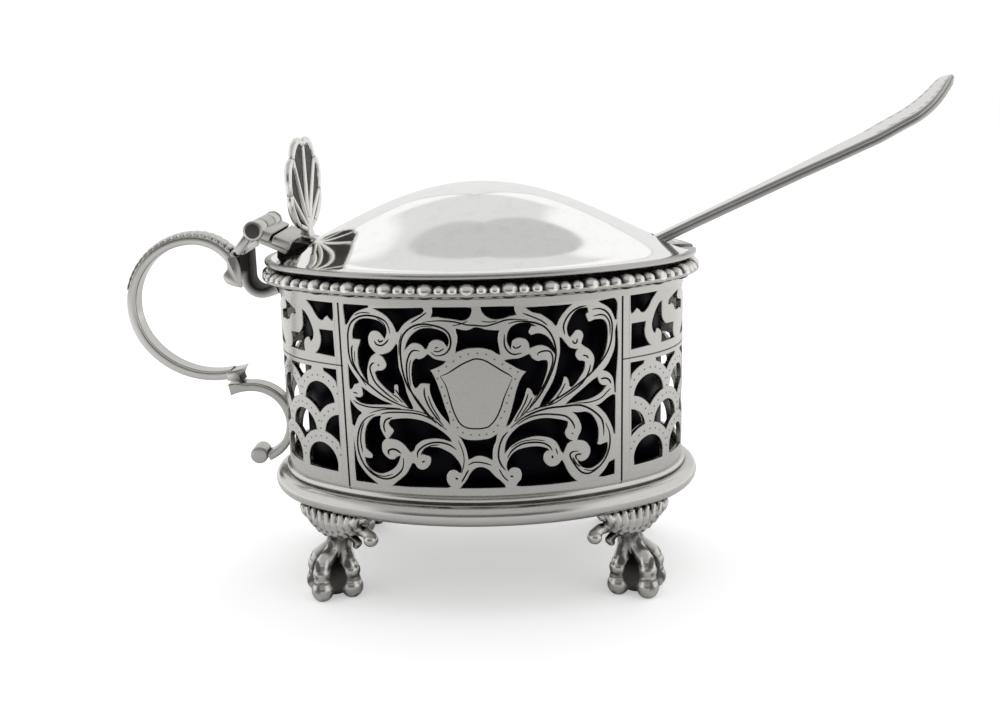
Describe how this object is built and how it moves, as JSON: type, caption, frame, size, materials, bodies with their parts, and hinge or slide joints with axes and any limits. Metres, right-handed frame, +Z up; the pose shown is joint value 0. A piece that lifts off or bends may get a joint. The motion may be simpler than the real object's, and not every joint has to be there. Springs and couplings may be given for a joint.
{
  "type": "mustard pot",
  "caption": "Oval silver mustard pot with a pierced scroll wall, claw-and-ball feet, dark glass liner, scroll handle, hinged domed lid with a shell thumbpiece, and a spoon.",
  "frame": {"origin": "on the table under the middle of the oval pot", "axes": "+Z up, +X towards the end where the spoon leaves the lid (the handle is at -X), -Y towards the front panel"},
  "size_m": [0.1368, 0.0524, 0.0818],
  "materials": {
    "silver": "satin silver with dark recesses",
    "polished_silver": "polished silver",
    "darkened_silver": "cast silver with oxidised recesses",
    "dark_glass": "dark cobalt glass"
  },
  "bodies": {
    "pot": {"base_moulding": "polished_silver", "bottom_plate": "silver", "pierced_wall": "silver", "rim_moulding": "silver", "rim_beading": "silver", "glass_liner": "dark_glass", "foot_front_left": "darkened_silver", "foot_front_right": "darkened_silver", "foot_back_left": "darkened_silver", "foot_back_right": "darkened_silver", "handle_scroll": "silver", "handle_tail": "silver", "handle_bracket": "silver", "hinge_pin": "darkened_silver"},
    "lid": {"lid_edge_band": "polished_silver", "lid_dome": "polished_silver", "hinge_leaf": "silver", "hinge_web": "darkened_silver", "thumbpiece": "silver"},
    "spoon": {"spoon": "polished_silver"}
  },
  "joints": [
    {"name": "lid_hinge", "type": "hinge", "parent": "pot", "child": "lid", "pos_m": [-0.0362, 0, 0.0595], "axis": [0, -1, 0], "range_deg": [0, 105]},
    {"name": "spoon_slide", "type": "slide", "parent": "pot", "child": "spoon", "axis": [0.9085, 0, 0.4179], "range_m": [0, 0.01]}
  ]
}
